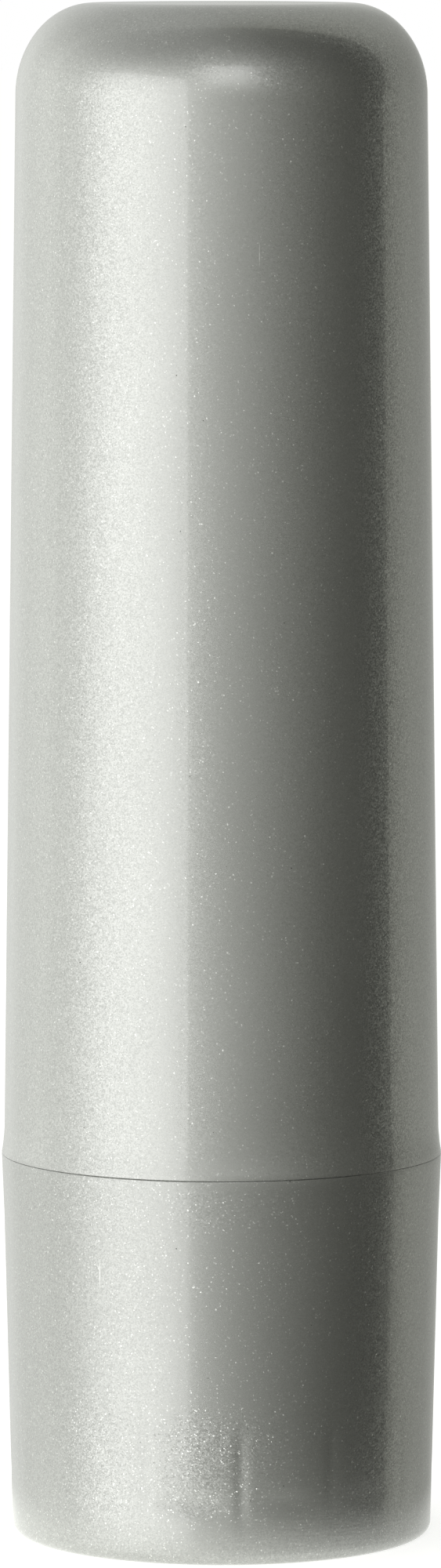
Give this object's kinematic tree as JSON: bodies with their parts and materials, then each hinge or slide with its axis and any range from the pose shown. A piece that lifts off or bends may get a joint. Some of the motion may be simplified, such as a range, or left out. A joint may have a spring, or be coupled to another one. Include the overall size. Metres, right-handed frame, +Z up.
{
  "type": "lip balm stick",
  "caption": "Slim round twist-up stick: tall capped cylinder with a rounded shoulder on a short turning base; the screw in the base lifts the balm out of the inner tube.",
  "frame": {"origin": "middle of the base's underside, on the plane the stick stands on", "axes": "+Z up along the stick's axis towards the cap's roof; -Y is the side the picture shows; +X is to the right in the picture"},
  "size_m": [0.0192, 0.0192, 0.067],
  "materials": {
    "flake_plastic_base": "moulded, silver-grey with fine metallic flake",
    "flake_plastic_cap": "moulded, silver-grey with fine metallic flake",
    "tube_plastic": "moulded, off-white satin",
    "spindle_plastic": "moulded, natural",
    "carrier_plastic": "moulded, natural",
    "balm_wax": "cast wax, soft satin"
  },
  "bodies": {
    "base": {"base_shell": "flake_plastic_base", "spindle": "spindle_plastic"},
    "tube": {"body_tube": "tube_plastic"},
    "elevator": {"carrier": "carrier_plastic", "balm": "balm_wax"},
    "cap_body": {"cap": "flake_plastic_cap"}
  },
  "joints": [
    {"name": "base_twist", "type": "hinge", "parent": "base", "child": "tube", "pos_m": [0, 0, 0], "axis": [0, 0, 1], "range_deg": [0, 2700]},
    {"name": "balm_rise", "type": "slide", "parent": "tube", "child": "elevator", "axis": [0, 0, 1], "range_m": [0, 0.0376]},
    {"name": "cap_pull", "type": "slide", "parent": "elevator", "child": "cap_body", "axis": [0, 0, 1], "range_m": [0, 0.05]}
  ],
  "couplings": [
    {"joint": "balm_rise", "follows": "base_twist", "m_per_rad": 0.00079577}
  ]
}
